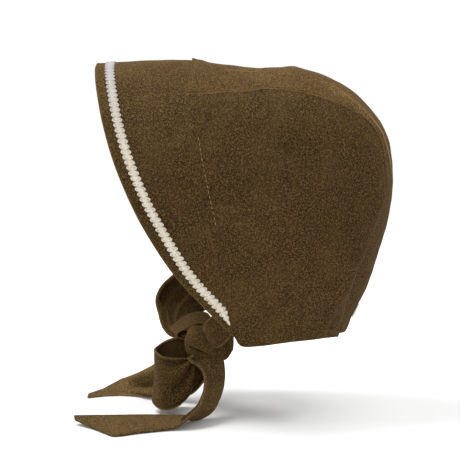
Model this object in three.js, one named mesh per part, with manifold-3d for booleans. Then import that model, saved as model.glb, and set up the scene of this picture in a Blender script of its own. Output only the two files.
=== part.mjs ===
// A cloth bonnet: a long brim framing the face, a crown of two side panels and a centre panel,
// a scalloped braid along the brim and two wide ties knotted in a bow under the chin.
// Millimetres, +Z up, -Y forward, +X the wearer's left. The origin is the inner top of the crown.
import * as THREE from 'three';
import { mergeVertices } from 'three/addons/utils/BufferGeometryUtils.js';
import Module from 'manifold-3d';

// Driving dimensions
const HALF_WIDTH = 76;
const SEAM_FORWARD = 59;
const SEAM_RISE = 8;
const CROWN_DEPTH = 163;
const CROWN_HEIGHT = 217;
const CROWN_WALL = 2;
const BRIM_REACH = 72;
const BRIM_HEIGHT = 207;
const BRIM_TOP_FALL = 2.3;
const BRIM_WALL = 2.4;
const LACE_INSET = 7.6;
const LACE_INSET_LOW = 4.9;
const LACE_WIDTH = 8;
const LACE_WALL = 1;
const LACE_END_WIDTH = 1;
const TIE_REACH = 110;
const TIE_DROP = 60.6;
const TIE_WALL = 2;
const KNOT_HALF_WIDTH = 17;
const KNOT_HALF_DEPTH = 14;
const KNOT_HALF_HEIGHT = 14.5;
const KNOT_LOBE_SHARE = 0.06;
const LABEL_WIDTH = 20;
const LABEL_HEIGHT = 12;
const LABEL_WALL = 0.8;
const LABEL_PLACE_SHARE = 0.905;
const CLEARANCE = 0.3;

// Ribs of the crown from the brim seam over the top to the nape. Back is a share of the crown's
// depth, down of its height, out and bulge of its half width, bow of its depth.
const RIB_COLUMNS = ['centreBack', 'centreDown', 'seamBack', 'seamDown', 'seamOut',
  'footBack', 'footDown', 'footOut', 'bulge', 'bow'];
const RIBS = [
  [0.020, 0.000, 0.006, 0.110, 0.62, 0.226, 0.966, 0.86, 0.275, 0.034],
  [0.115, 0.008, 0.108, 0.105, 0.62, 0.262, 1.001, 0.84, 0.285, 0.026],
  [0.270, 0.024, 0.270, 0.098, 0.61, 0.340, 1.002, 0.83, 0.300, 0.013],
  [0.436, 0.026, 0.432, 0.090, 0.61, 0.415, 0.995, 0.83, 0.310, 0.000],
  [0.650, 0.050, 0.630, 0.118, 0.58, 0.490, 0.988, 0.82, 0.270, 0.000],
  [0.830, 0.130, 0.796, 0.174, 0.55, 0.550, 0.986, 0.78, 0.215, 0.000],
  [0.960, 0.255, 0.907, 0.258, 0.53, 0.595, 0.986, 0.73, 0.175, 0.000],
  [1.000, 0.400, 0.948, 0.405, 0.51, 0.630, 0.986, 0.68, 0.165, 0.000],
  [0.996, 0.510, 0.946, 0.494, 0.49, 0.655, 0.987, 0.63, 0.155, 0.000],
  [0.957, 0.650, 0.872, 0.637, 0.45, 0.683, 0.989, 0.57, 0.125, 0.000],
  [0.888, 0.818, 0.795, 0.798, 0.40, 0.706, 0.992, 0.50, 0.080, 0.000],
  [0.812, 0.936, 0.755, 0.922, 0.375, 0.724, 0.995, 0.43, 0.030, 0.000],
  [0.776, 0.999, 0.737, 0.985, 0.36, 0.731, 0.997, 0.40, 0.000, 0.000],
];

// Outer edge of the brim from the top centre to the corner under the cheek. Along is the share of
// the half edge, forward of the brim's reach, fall of its height, out of the half width.
const EDGE_COLUMNS = ['along', 'forward', 'fall', 'out'];
const EDGE = [
  [0.00, 1.000, 0.000, 0.00],
  [0.10, 0.990, 0.020, 0.33],
  [0.20, 0.950, 0.090, 0.62],
  [0.32, 0.870, 0.215, 0.83],
  [0.45, 0.725, 0.375, 0.955],
  [0.60, 0.480, 0.565, 1.00],
  [0.75, 0.150, 0.750, 0.985],
  [0.88, -0.210, 0.895, 0.925],
  [1.00, -0.495, 1.000, 0.855],
];

// Rows across each tie piece, from one long edge of the cloth to the other. Forward and down are
// shares of the ties' reach and drop from the crown's front corner, out of the half width.
const TIE_COLUMNS = ['forwardA', 'downA', 'outA', 'forwardB', 'downB', 'outB'];
const STRAP_LEFT = [
  [0.11, -0.06, 0.76, 0.23, -0.33, 0.75],
  [0.18, 0.01, 0.69, 0.25, -0.17, 0.62],
  [0.22, -0.03, 0.56, 0.26, -0.17, 0.45],
  [0.23, -0.16, 0.45, 0.23, -0.21, 0.23],
  [0.26, -0.21, 0.37, 0.25, -0.20, 0.04],
  [0.31, -0.23, 0.33, 0.33, -0.20, -0.05],
  [0.37, -0.16, 0.32, 0.42, -0.14, -0.09],
  [0.42, -0.05, 0.30, 0.49, -0.03, -0.11],
  [0.38, 0.00, 0.31, 0.40, -0.04, 0.12],
  [0.30, 0.02, 0.34, 0.33, -0.02, 0.24],
];
const STRAP_RIGHT = [
  [0.26, -0.12, -0.72, 0.38, -0.71, -0.76],
  [0.29, -0.05, -0.58, 0.56, -0.54, -0.66],
  [0.33, 0.00, -0.44, 0.635, -0.35, -0.49],
  [0.37, 0.04, -0.30, 0.61, -0.15, -0.33],
  [0.40, 0.07, -0.17, 0.575, 0.00, -0.20],
  [0.39, 0.08, -0.05, 0.51, 0.08, -0.08],
  [0.35, 0.08, 0.05, 0.39, 0.02, 0.04],
  [0.30, 0.07, 0.22, 0.31, 0.01, 0.22],
];
const LOOP_FRONT = [
  [0.29, 0.14, 0.40, 0.29, 0.20, 0.42],
  [0.36, 0.24, 0.48, 0.35, 0.33, 0.49],
  [0.43, 0.22, 0.54, 0.35, 0.49, 0.53],
  [0.50, 0.21, 0.58, 0.37, 0.70, 0.57],
  [0.56, 0.19, 0.58, 0.46, 0.87, 0.59],
  [0.60, 0.16, 0.51, 0.55, 0.92, 0.54],
  [0.62, 0.14, 0.39, 0.61, 0.91, 0.42],
  [0.60, 0.13, 0.26, 0.64, 0.87, 0.28],
  [0.56, 0.10, 0.16, 0.61, 0.86, 0.17],
  [0.51, 0.07, 0.11, 0.51, 0.90, 0.12],
  [0.43, 0.04, 0.11, 0.38, 0.85, 0.12],
  [0.34, 0.08, 0.16, 0.28, 0.67, 0.16],
  [0.28, 0.16, 0.24, 0.24, 0.40, 0.24],
  [0.27, 0.10, 0.34, 0.26, 0.18, 0.34],
];
const LOOP_BACK = [
  [0.26, 0.05, 0.44, 0.27, 0.14, 0.44],
  [0.15, -0.05, 0.51, 0.17, 0.23, 0.51],
  [0.10, -0.11, 0.49, 0.12, 0.25, 0.49],
  [0.07, -0.13, 0.42, 0.09, 0.19, 0.42],
  [0.07, -0.12, 0.33, 0.08, 0.17, 0.33],
  [0.12, -0.07, 0.26, 0.12, 0.19, 0.26],
  [0.22, 0.03, 0.30, 0.22, 0.13, 0.30],
];
const TAIL_LONG = [
  [0.30, 0.19, 0.47, 0.22, 0.05, 0.34],
  [0.38, 0.20, 0.62, 0.18, 0.13, 0.30],
  [0.30, 0.29, 0.66, 0.15, 0.28, 0.32],
  [0.26, 0.39, 0.70, 0.14, 0.46, 0.36],
  [0.25, 0.52, 0.76, 0.15, 0.62, 0.41],
  [0.26, 0.64, 0.84, 0.18, 0.76, 0.47],
  [0.29, 0.75, 0.96, 0.22, 0.87, 0.57],
  [0.35, 0.84, 1.07, 0.29, 0.93, 0.65],
  [0.43, 0.93, 1.13, 0.38, 0.93, 0.72],
  [0.53, 0.975, 1.16, 0.49, 0.92, 0.75],
  [0.70, 0.98, 1.26, 0.69, 0.92, 0.74],
  [0.89, 0.98, 1.38, 0.93, 0.92, 0.76],
  [1.03, 0.97, 1.10, 1.08, 0.91, 0.80],
  [1.17, 0.935, 0.90, 1.18, 0.895, 0.84],
];
const TAIL_SHORT = [
  [0.24, 0.10, 0.26, 0.24, 0.20, 0.26],
  [0.26, 0.21, 0.11, 0.26, 0.36, 0.08],
  [0.35, 0.27, -0.03, 0.35, 0.57, -0.04],
  [0.51, 0.37, -0.22, 0.51, 0.95, -0.16],
  [0.69, 0.61, -0.46, 0.66, 0.98, -0.22],
  [0.82, 0.79, -0.70, 0.78, 0.98, -0.33],
  [0.939, 0.925, -0.88, 0.92, 0.985, -0.39],
  [1.045, 0.965, -0.60, 1.03, 0.985, -0.36],
  [1.15, 0.965, -0.36, 1.15, 0.985, -0.27],
];
const KNOT_FORWARD_SHARE = 0.278;
const KNOT_DOWN_SHARE = 0.070;
const KNOT_OUT_SHARE = 0.355;
// Where a tie is sewn inside the front corner: shares along the crown's first rib.
const TIE_SEAT_BACK_SHARE = 0.02;
const TIE_SEAT_LOW_SHARE = 0.965;
const TIE_SEAT_HIGH_SHARE = 0.875;

// Grid sizes of the faceted walls
const RIB_STEPS = 24;
const SIDE_STEPS = 11;
const CENTRE_STEPS = 6;
const BRIM_STEPS = 4;
const LACE_STEPS = 2;
const TIE_STEPS = 2;
const TIE_ACROSS = 4;
const KNOT_LOBES = 3;
const KNOT_SEGMENTS = 20;
const KNOT_RINGS = 14;
const LABEL_STEPS = 2;
const SWELL_EXPONENT = 0.7;
const SPREAD_EXPONENT = 1.15;
const STEP = 1e-3;

const WOOL = { color: '#5b4a30', roughness: 0.95, metalness: 0 };
const LACE = { color: '#d8cfbd', roughness: 0.85, metalness: 0 };
const LABEL = { color: '#d9d4c6', roughness: 0.8, metalness: 0 };

const wasm = await Module();
wasm.setup();

const clamp = (value, low, high) => Math.min(high, Math.max(low, value));

// A smooth curve through the rows of a table at a share of its length, as named columns.
function rowAt(table, columns, share) {
  const last = table.length - 1;
  const place = clamp(share, 0, 1) * last;
  const k = Math.min(Math.floor(place), last - 1);
  const u = place - k;
  const row = {};
  columns.forEach((name, c) => {
    const p1 = table[k][c];
    const p2 = table[k + 1][c];
    const p0 = k > 0 ? table[k - 1][c] : 2 * p1 - p2;
    const p3 = k + 2 <= last ? table[k + 2][c] : 2 * p2 - p1;
    row[name] = 0.5 * (2 * p1 + (p2 - p0) * u + (2 * p0 - 5 * p1 + 4 * p2 - p3) * u * u
      + (3 * p1 - p0 - 3 * p2 + p3) * u * u * u);
  });
  return row;
}

const crownY = (back) => -SEAM_FORWARD + back * CROWN_DEPTH;
const crownZ = (down) => SEAM_RISE - down * CROWN_HEIGHT;

// A point of the centre panel: along runs from the brim seam to the nape, across from the
// middle (0) to the side seam (1 on the wearer's left, -1 on the right).
function centrePoint(along, across) {
  const rib = rowAt(RIBS, RIB_COLUMNS, along);
  const sink = across * across;
  const back = rib.centreBack + (rib.seamBack - rib.centreBack) * sink;
  const down = rib.centreDown + (rib.seamDown - rib.centreDown) * sink;
  return new THREE.Vector3(across * rib.seamOut * HALF_WIDTH, crownY(back), crownZ(down));
}

// A point of the left side panel: along as above, drop from the panel seam (0) to the hem (1).
function sidePoint(along, drop) {
  const rib = rowAt(RIBS, RIB_COLUMNS, along);
  const swell = rib.bulge * Math.sin(Math.PI * Math.pow(drop, SWELL_EXPONENT));
  const out = rib.seamOut + (rib.footOut - rib.seamOut) * drop + swell;
  const sway = rib.bow * Math.sin(Math.PI * Math.pow(drop, SWELL_EXPONENT)) * (1 - drop);
  const back = rib.seamBack + (rib.footBack - rib.seamBack) * drop - sway;
  const down = rib.seamDown + (rib.footDown - rib.seamDown) * drop;
  return new THREE.Vector3(out * HALF_WIDTH, crownY(back), crownZ(down));
}

// Samples along the crown's front seam from the right corner over the top to the left one.
const sideDrops = Array.from({ length: SIDE_STEPS + 1 }, (_, i) => (
  Math.pow(i / SIDE_STEPS, SPREAD_EXPONENT)));
const frontStations = [
  ...sideDrops.slice(1).reverse().map((drop) => ({ panel: 'side', sign: -1, share: drop })),
  ...Array.from({ length: CENTRE_STEPS + 1 }, (_, i) => (
    { panel: 'centre', sign: 1, share: -1 + 2 * i / CENTRE_STEPS })),
  ...sideDrops.slice(1).map((drop) => ({ panel: 'side', sign: 1, share: drop })),
];

function crownPoint(station, along) {
  if (station.panel === 'centre') return centrePoint(along, station.share);
  const point = sidePoint(along, station.share);
  point.x *= station.sign;
  return point;
}

// Each station's share of the half seam, measured along the seam from the top.
const frontPoints = frontStations.map((station) => crownPoint(station, 0));
const middle = (frontPoints.length - 1) / 2;
const fromTop = frontPoints.map(() => 0);
for (let i = middle + 1; i < frontPoints.length; i += 1) {
  fromTop[i] = fromTop[i - 1] + frontPoints[i].distanceTo(frontPoints[i - 1]);
  fromTop[frontPoints.length - 1 - i] = fromTop[i];
}
const halfSeam = fromTop[frontPoints.length - 1];
frontStations.forEach((station, i) => {
  station.half = fromTop[i] / halfSeam;
  station.mirror = i < middle ? -1 : 1;
});

// The brim's outer edge at a share of the half seam.
const edgeTop = SEAM_RISE - BRIM_TOP_FALL;
function edgePoint(half, mirror) {
  const last = EDGE.length - 1;
  let k = 0;
  while (k < last - 1 && EDGE[k + 1][0] < half) k += 1;
  const share = (k + (half - EDGE[k][0]) / (EDGE[k + 1][0] - EDGE[k][0])) / last;
  const row = rowAt(EDGE, EDGE_COLUMNS, share);
  return new THREE.Vector3(mirror * row.out * HALF_WIDTH,
    -SEAM_FORWARD - row.forward * BRIM_REACH, edgeTop - row.fall * BRIM_HEIGHT);
}

// A point of the brim: reach runs from the seam (0) to the outer edge (1).
function brimPoint(station, reach) {
  return crownPoint(station, 0).lerp(edgePoint(station.half, station.mirror), reach);
}

// Unit vector square to two directions, turned away from the middle of the head.
const headMiddle = new THREE.Vector3(0, 0, -CROWN_HEIGHT / 2);
function outward(point, a, b) {
  const normal = new THREE.Vector3().crossVectors(a, b).normalize();
  return normal.dot(point.clone().sub(headMiddle)) < 0 ? normal.negate() : normal;
}
function slope(curve, at) {
  const high = Math.min(at + STEP, 1);
  const low = high - 2 * STEP;
  return curve(high).sub(curve(Math.max(low, -1))).divideScalar(high - Math.max(low, -1));
}

function centreNormal(along, across) {
  const a = slope((t) => centrePoint(Math.max(t, 0), across), Math.max(along, STEP));
  const b = slope((s) => centrePoint(along, s), across);
  return outward(centrePoint(along, across), a, b);
}
function sideNormal(along, drop, sign) {
  const a = slope((t) => sidePoint(Math.max(t, 0), drop), Math.max(along, STEP));
  const b = slope((q) => sidePoint(along, Math.max(q, 0)), Math.max(drop, STEP));
  const normal = outward(sidePoint(along, drop), a, b);
  normal.x *= sign;
  return normal;
}
function stationNormal(station, along) {
  if (station.panel === 'centre') return centreNormal(along, station.share);
  return sideNormal(along, station.share, station.sign);
}
function brimNormal(index, reach) {
  const inside = clamp(index, 1, frontStations.length - 2);
  const station = frontStations[inside];
  const before = brimPoint(frontStations[inside - 1], reach);
  const after = brimPoint(frontStations[inside + 1], reach);
  const ruling = edgePoint(station.half, station.mirror).sub(crownPoint(station, 0));
  return outward(brimPoint(station, reach), after.sub(before), ruling);
}

// How far the wall goes in at a seam: along the shared direction, so that both edges match.
function mitre(own, others, wall) {
  const shared = own.clone();
  others.forEach((normal) => shared.add(normal));
  shared.normalize();
  return shared.multiplyScalar(-wall / shared.dot(own));
}

// A closed wall between two grids of points, the outer one first.
function shell(outer, inner) {
  const rows = outer.length;
  const cols = outer[0].length;
  const positions = [];
  [outer, inner].forEach((grid) => grid.forEach((line) => line.forEach((p) => positions.push(p.x, p.y, p.z))));
  const id = (layer, i, j) => layer * rows * cols + i * cols + j;
  const faces = [];
  const quad = (a, b, c, d) => faces.push(a, b, c, a, c, d);
  for (let i = 0; i < rows - 1; i += 1) {
    for (let j = 0; j < cols - 1; j += 1) {
      quad(id(0, i, j), id(0, i + 1, j), id(0, i + 1, j + 1), id(0, i, j + 1));
      quad(id(1, i, j), id(1, i, j + 1), id(1, i + 1, j + 1), id(1, i + 1, j));
    }
    quad(id(0, i, 0), id(1, i, 0), id(1, i + 1, 0), id(0, i + 1, 0));
    quad(id(0, i, cols - 1), id(0, i + 1, cols - 1), id(1, i + 1, cols - 1), id(1, i, cols - 1));
  }
  for (let j = 0; j < cols - 1; j += 1) {
    quad(id(0, 0, j), id(0, 0, j + 1), id(1, 0, j + 1), id(1, 0, j));
    quad(id(0, rows - 1, j), id(1, rows - 1, j), id(1, rows - 1, j + 1), id(0, rows - 1, j + 1));
  }
  const geometry = new THREE.BufferGeometry();
  geometry.setAttribute('position', new THREE.Float32BufferAttribute(positions, 3));
  geometry.setIndex(faces);
  return facingOut(geometry);
}

// Turns every face over if the closed mesh is inside out.
function facingOut(geometry) {
  const p = geometry.getAttribute('position');
  const index = geometry.getIndex();
  const [a, b, c] = [0, 1, 2].map(() => new THREE.Vector3());
  let volume = 0;
  for (let i = 0; i < index.count; i += 3) {
    a.fromBufferAttribute(p, index.getX(i));
    b.fromBufferAttribute(p, index.getX(i + 1));
    c.fromBufferAttribute(p, index.getX(i + 2));
    volume += a.dot(b.cross(c));
  }
  if (volume < 0) {
    for (let i = 0; i < index.count; i += 3) {
      const swap = index.getX(i + 1);
      index.setX(i + 1, index.getX(i + 2));
      index.setX(i + 2, swap);
    }
  }
  return geometry;
}

const along = Array.from({ length: RIB_STEPS + 1 }, (_, i) => i / RIB_STEPS);

// Half of the seam gap as a share of a direction's length there.
const pullBack = (direction) => CLEARANCE / 2 / direction.length();

// The wall's two grids over the stations of one panel. The seams are pulled back and mitred.
function crownPanel(stations, neighbours) {
  const first = frontStations.indexOf(stations[0]);
  const outer = [];
  const inner = [];
  along.forEach((t, i) => {
    const outerRow = [];
    const innerRow = [];
    stations.forEach((station, j) => {
      const start = pullBack(slope((s) => crownPoint(station, Math.max(s, 0)), STEP));
      const place = i === 0 ? start : t;
      const seam = neighbours(station, j);
      const share = seam ? seam.share(place) : station.share;
      const point = crownPoint({ ...station, share }, place);
      const own = stationNormal({ ...station, share }, place);
      const others = seam ? [seam.normal(place)] : [];
      if (i === 0) others.push(brimNormal(first + j, 0));
      outerRow.push(point);
      innerRow.push(point.clone().add(mitre(own, others, CROWN_WALL)));
    });
    outer.push(outerRow);
    inner.push(innerRow);
  });
  return shell(outer, inner);
}

function centrePanel() {
  const stations = frontStations.filter((station) => station.panel === 'centre');
  return crownPanel(stations, (station, j) => {
    if (j > 0 && j < stations.length - 1) return null;
    const sign = Math.sign(station.share);
    return {
      share: (place) => sign * (1 - pullBack(slope((s) => centrePoint(place, s), 1))),
      normal: (place) => sideNormal(place, 0, sign),
    };
  });
}

function sidePanel(sign) {
  const seamStation = { panel: 'side', sign, share: 0 };
  const seamIndex = middle + sign * CENTRE_STEPS / 2;
  const stations = frontStations.filter((station) => station.panel === 'side' && station.sign === sign);
  const ordered = sign > 0 ? [seamStation, ...stations] : [...stations, seamStation];
  const outer = [];
  const inner = [];
  along.forEach((t, i) => {
    const outerRow = [];
    const innerRow = [];
    ordered.forEach((station) => {
      const atSeam = station === seamStation;
      const index = atSeam ? seamIndex : frontStations.indexOf(station);
      const start = pullBack(slope((s) => sidePoint(Math.max(s, 0), station.share), STEP));
      const place = i === 0 ? start : t;
      const share = atSeam ? pullBack(slope((q) => sidePoint(place, Math.max(q, 0)), STEP)) : station.share;
      const here = { ...station, share };
      const own = sideNormal(place, share, sign);
      const others = atSeam ? [centreNormal(place, sign)] : [];
      if (i === 0) others.push(brimNormal(index, 0));
      const point = crownPoint(here, place);
      outerRow.push(point);
      innerRow.push(point.clone().add(mitre(own, others, CROWN_WALL)));
    });
    outer.push(outerRow);
    inner.push(innerRow);
  });
  return shell(outer, inner);
}

function brim() {
  const outer = [];
  const inner = [];
  for (let i = 0; i <= BRIM_STEPS; i += 1) {
    const outerRow = [];
    const innerRow = [];
    frontStations.forEach((station, j) => {
      const ruling = edgePoint(station.half, station.mirror).sub(crownPoint(station, 0));
      const reach = i === 0 ? pullBack(ruling) : i / BRIM_STEPS;
      const point = brimPoint(station, reach);
      const own = brimNormal(j, reach);
      const others = i === 0 ? [stationNormal(station, 0)] : [];
      const corner = station.panel === 'centre' && Math.abs(station.share) === 1;
      if (i === 0 && corner) others.push(sideNormal(0, 0, Math.sign(station.share)));
      outerRow.push(point);
      innerRow.push(point.clone().add(mitre(own, others, BRIM_WALL)));
    });
    outer.push(outerRow);
    inner.push(innerRow);
  }
  return shell(outer, inner);
}

// Down the brim the braid runs closer to the edge, over these shares of the half seam.
const LACE_EASE_FROM = 0.62;
const LACE_EASE_TO = 0.84;

// The braid lies on the brim a set way inside its edge, and its ends run out at the brim seam.
function laceTrim() {
  const outer = [];
  const inner = [];
  const rows = frontStations.map((station, j) => {
    const ruling = edgePoint(station.half, station.mirror).sub(crownPoint(station, 0));
    const near = frontStations[Math.max(j - 1, 0)];
    const far = frontStations[Math.min(j + 1, frontStations.length - 1)];
    const tangent = edgePoint(far.half, far.mirror).sub(edgePoint(near.half, near.mirror));
    const lean = Math.sin(ruling.angleTo(tangent));
    const length = ruling.length();
    const low = THREE.MathUtils.smoothstep(station.half, LACE_EASE_FROM, LACE_EASE_TO);
    const inset = LACE_INSET + (LACE_INSET_LOW - LACE_INSET) * low;
    const edgeSide = 1 - inset / lean / length;
    const seamSide = Math.max(edgeSide - LACE_WIDTH / lean / length, CLEARANCE * 2 / length);
    return { station, j, edgeSide, seamSide, length };
  }).filter((row) => (row.edgeSide - row.seamSide) * row.length > LACE_END_WIDTH);
  for (let i = 0; i <= LACE_STEPS; i += 1) {
    const lines = [CLEARANCE + LACE_WALL, CLEARANCE].map((rise) => rows.map((row) => {
      const reach = row.seamSide + (row.edgeSide - row.seamSide) * i / LACE_STEPS;
      return brimPoint(row.station, reach).addScaledVector(brimNormal(row.j, reach), rise);
    }));
    outer.push(lines[0]);
    inner.push(lines[1]);
  }
  return shell(outer, inner);
}

// The crown's front corner, which the ties hang from, and the ties' own places around it.
const corner = rowAt(RIBS, RIB_COLUMNS, 1 / (RIBS.length - 1));
function tiePoint(forward, down, out) {
  return new THREE.Vector3(out * HALF_WIDTH, crownY(corner.footBack) - forward * TIE_REACH,
    crownZ(corner.footDown) - down * TIE_DROP);
}

// Where a tie is sewn inside the corner, on the inner face of the side panel.
function tieSeat(drop, sign) {
  const depth = Math.max(CROWN_WALL, BRIM_WALL) + CLEARANCE + TIE_WALL / 2;
  const point = sidePoint(TIE_SEAT_BACK_SHARE, drop);
  point.x *= sign;
  return point.addScaledVector(sideNormal(TIE_SEAT_BACK_SHARE, drop, sign), -depth);
}

// A tie piece as a wall swept through its rows, each row a line across the cloth.
function tieWall(table, seat) {
  const rows = table.map((line) => {
    const [forwardA, downA, outA, forwardB, downB, outB] = line;
    return [tiePoint(forwardA, downA, outA), tiePoint(forwardB, downB, outB)];
  });
  if (seat) rows.unshift([tieSeat(TIE_SEAT_LOW_SHARE, seat), tieSeat(TIE_SEAT_HIGH_SHARE, seat)]);
  const numbers = rows.map(([a, b]) => [a.x, a.y, a.z, b.x, b.y, b.z]);
  const steps = (rows.length - 1) * TIE_STEPS;
  const middleGrid = [];
  for (let i = 0; i <= steps; i += 1) {
    const r = rowAt(numbers, TIE_COLUMNS, i / steps);
    const a = new THREE.Vector3(r.forwardA, r.downA, r.outA);
    const b = new THREE.Vector3(r.forwardB, r.downB, r.outB);
    middleGrid.push(Array.from({ length: TIE_ACROSS + 1 }, (_, j) => a.clone().lerp(b, j / TIE_ACROSS)));
  }
  const layers = [TIE_WALL / 2, -TIE_WALL / 2].map((rise) => middleGrid.map((line, i) => line.map((p, j) => {
    const before = middleGrid[Math.max(i - 1, 0)][j];
    const after = middleGrid[Math.min(i + 1, steps)][j];
    const normal = after.clone().sub(before).cross(line[TIE_ACROSS].clone().sub(line[0])).normalize();
    return p.clone().addScaledVector(normal, rise);
  })));
  return shell(layers[0], layers[1]);
}

// The knot is a rounded lump with shallow lobes where the cloth wraps round it.
function knot(grow) {
  const geometry = new THREE.SphereGeometry(1, KNOT_SEGMENTS, KNOT_RINGS);
  const p = geometry.getAttribute('position');
  const v = new THREE.Vector3();
  const centre = tiePoint(KNOT_FORWARD_SHARE, KNOT_DOWN_SHARE, KNOT_OUT_SHARE);
  for (let i = 0; i < p.count; i += 1) {
    v.fromBufferAttribute(p, i);
    const lobe = 1 + KNOT_LOBE_SHARE * Math.cos(KNOT_LOBES * Math.atan2(v.z, v.x)) * (1 - v.y * v.y);
    v.multiplyScalar(lobe);
    v.set(v.x * (KNOT_HALF_WIDTH + grow), v.y * (KNOT_HALF_DEPTH + grow), v.z * (KNOT_HALF_HEIGHT + grow));
    v.add(centre);
    p.setXYZ(i, v.x, v.y, v.z);
  }
  return facingOut(welded(geometry));
}

function welded(geometry) {
  geometry.deleteAttribute('normal');
  geometry.deleteAttribute('uv');
  return mergeVertices(geometry, STEP);
}

function toSolid(geometry) {
  const vertProperties = Float32Array.from(geometry.getAttribute('position').array);
  const triVerts = Uint32Array.from(geometry.getIndex().array);
  return new wasm.Manifold(new wasm.Mesh({ numProp: 3, vertProperties, triVerts }));
}

function toGeometry(solid) {
  const mesh = solid.getMesh();
  const geometry = new THREE.BufferGeometry();
  geometry.setAttribute('position', new THREE.BufferAttribute(mesh.vertProperties, 3));
  geometry.setIndex(new THREE.BufferAttribute(mesh.triVerts, 1));
  return geometry;
}

// A tie piece stops a clearance short of the knot that holds it.
const knotRoom = toSolid(knot(CLEARANCE));
const tiePiece = (table, seat) => toGeometry(toSolid(tieWall(table, seat)).subtract(knotRoom));

// The label hangs on the inner or outer face of the centre panel near the nape.
function label() {
  const outer = [];
  const inner = [];
  const napeLength = slope((t) => centrePoint(t, 0), LABEL_PLACE_SHARE).length();
  const halfWidth = LABEL_WIDTH / 2 / (rowAt(RIBS, RIB_COLUMNS, LABEL_PLACE_SHARE).seamOut * HALF_WIDTH);
  for (let i = 0; i <= LABEL_STEPS; i += 1) {
    const t = LABEL_PLACE_SHARE + (i / LABEL_STEPS - 0.5) * LABEL_HEIGHT / napeLength;
    const lines = [CLEARANCE + LABEL_WALL, CLEARANCE].map((rise) => (
      Array.from({ length: CENTRE_STEPS + 1 }, (_, j) => {
        const s = halfWidth * (2 * j / CENTRE_STEPS - 1);
        return centrePoint(t, s).addScaledVector(centreNormal(t, s), rise);
      })));
    outer.push(lines[0]);
    inner.push(lines[1]);
  }
  return shell(outer, inner);
}

function piece(name, geometry, finish) {
  const mesh = new THREE.Mesh(geometry, new THREE.MeshStandardMaterial(finish));
  mesh.name = name;
  return mesh;
}

const bonnet = new THREE.Group();
bonnet.add(
  piece('brim', brim(), WOOL),
  piece('lace_trim', laceTrim(), LACE),
  piece('crown_center_panel', centrePanel(), WOOL),
  piece('crown_side_left', sidePanel(1), WOOL),
  piece('crown_side_right', sidePanel(-1), WOOL),
  piece('tie_strap_left', tiePiece(STRAP_LEFT, 1), WOOL),
  piece('tie_strap_right', tiePiece(STRAP_RIGHT, -1), WOOL),
  piece('bow_knot', knot(0), WOOL),
  piece('bow_loop_front', tiePiece(LOOP_FRONT, 0), WOOL),
  piece('bow_loop_back', tiePiece(LOOP_BACK, 0), WOOL),
  piece('tie_tail_long', tiePiece(TAIL_LONG, 0), WOOL),
  piece('tie_tail_short', tiePiece(TAIL_SHORT, 0), WOOL),
  piece('back_label', label(), LABEL),
);

export default bonnet;
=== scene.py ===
"""A cloth bonnet in the shape it has when worn: the looks of every piece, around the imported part.

Lengths are millimetres until a mesh is made, +Z up, -Y forward, +X the wearer's left.
"""
import math

import bmesh
import bpy
import numpy as np
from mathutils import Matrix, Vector

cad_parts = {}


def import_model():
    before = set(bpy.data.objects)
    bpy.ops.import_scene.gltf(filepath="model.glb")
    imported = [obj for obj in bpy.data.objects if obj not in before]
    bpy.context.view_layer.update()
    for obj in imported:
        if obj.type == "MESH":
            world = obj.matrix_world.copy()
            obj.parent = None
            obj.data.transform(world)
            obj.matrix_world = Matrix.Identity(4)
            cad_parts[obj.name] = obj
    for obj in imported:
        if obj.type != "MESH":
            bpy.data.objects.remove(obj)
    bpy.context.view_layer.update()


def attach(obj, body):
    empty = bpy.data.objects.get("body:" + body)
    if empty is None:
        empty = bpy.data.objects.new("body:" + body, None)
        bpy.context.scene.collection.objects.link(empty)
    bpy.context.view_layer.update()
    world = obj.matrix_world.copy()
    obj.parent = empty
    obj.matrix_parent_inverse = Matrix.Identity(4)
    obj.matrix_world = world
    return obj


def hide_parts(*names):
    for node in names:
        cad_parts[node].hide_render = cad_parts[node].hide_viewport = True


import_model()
MM = 0.001

# Sizes of the bonnet
HALF_WIDTH = 76.0
SEAM_FORWARD = 59.0
SEAM_RISE = 8.0
CROWN_DEPTH = 163.0
CROWN_HEIGHT = 217.0
CROWN_WALL = 2.0
BRIM_REACH = 72.0
BRIM_HEIGHT = 207.0
BRIM_TOP_FALL = 2.3
BRIM_WALL = 2.4
LACE_INSET = 7.6
LACE_INSET_LOW = 4.9
LACE_EASE = (0.62, 0.84)
LACE_WIDTH = 8.0
LACE_WALL = 1.0
LACE_PITCH = 4.3
LACE_LIFT = 0.2
LACE_WAIST = 0.60
LACE_STEPS = 10
LACE_TRACKS = 9
PETAL_HOLE = (2.35, 0.42)
NOTCH_HOLE = (1.25, 0.34)
TIE_REACH = 110.0
TIE_DROP = 60.6
TIE_WIDTH = 42.0
TIE_WALL = 2.0
TIE_HEM = 2.6
KNOT_HALF = (17.0, 14.0, 14.5)
KNOT_LOBE = 0.06
KNOT_SQUARENESS = 2.8
LABEL_SIZE = (20.0, 12.0)
LABEL_WALL = 0.8
LABEL_PLACE = 0.905
STITCH_PITCH = 4.1
STITCH_LENGTH = 2.7
STITCH_RADIUS = 0.21
SUNK_STITCH_RADIUS = 0.17
WELT_WIDTH = 6.4
WELT_RISE = 0.45
BRIM_SWELL = 0.95
CORNER_EASE = 6.0
CLEARANCE = 0.3
SIDE_HEM = 9.5
TOPSTITCH_SHOWS = (0.165, 0.53)

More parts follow.
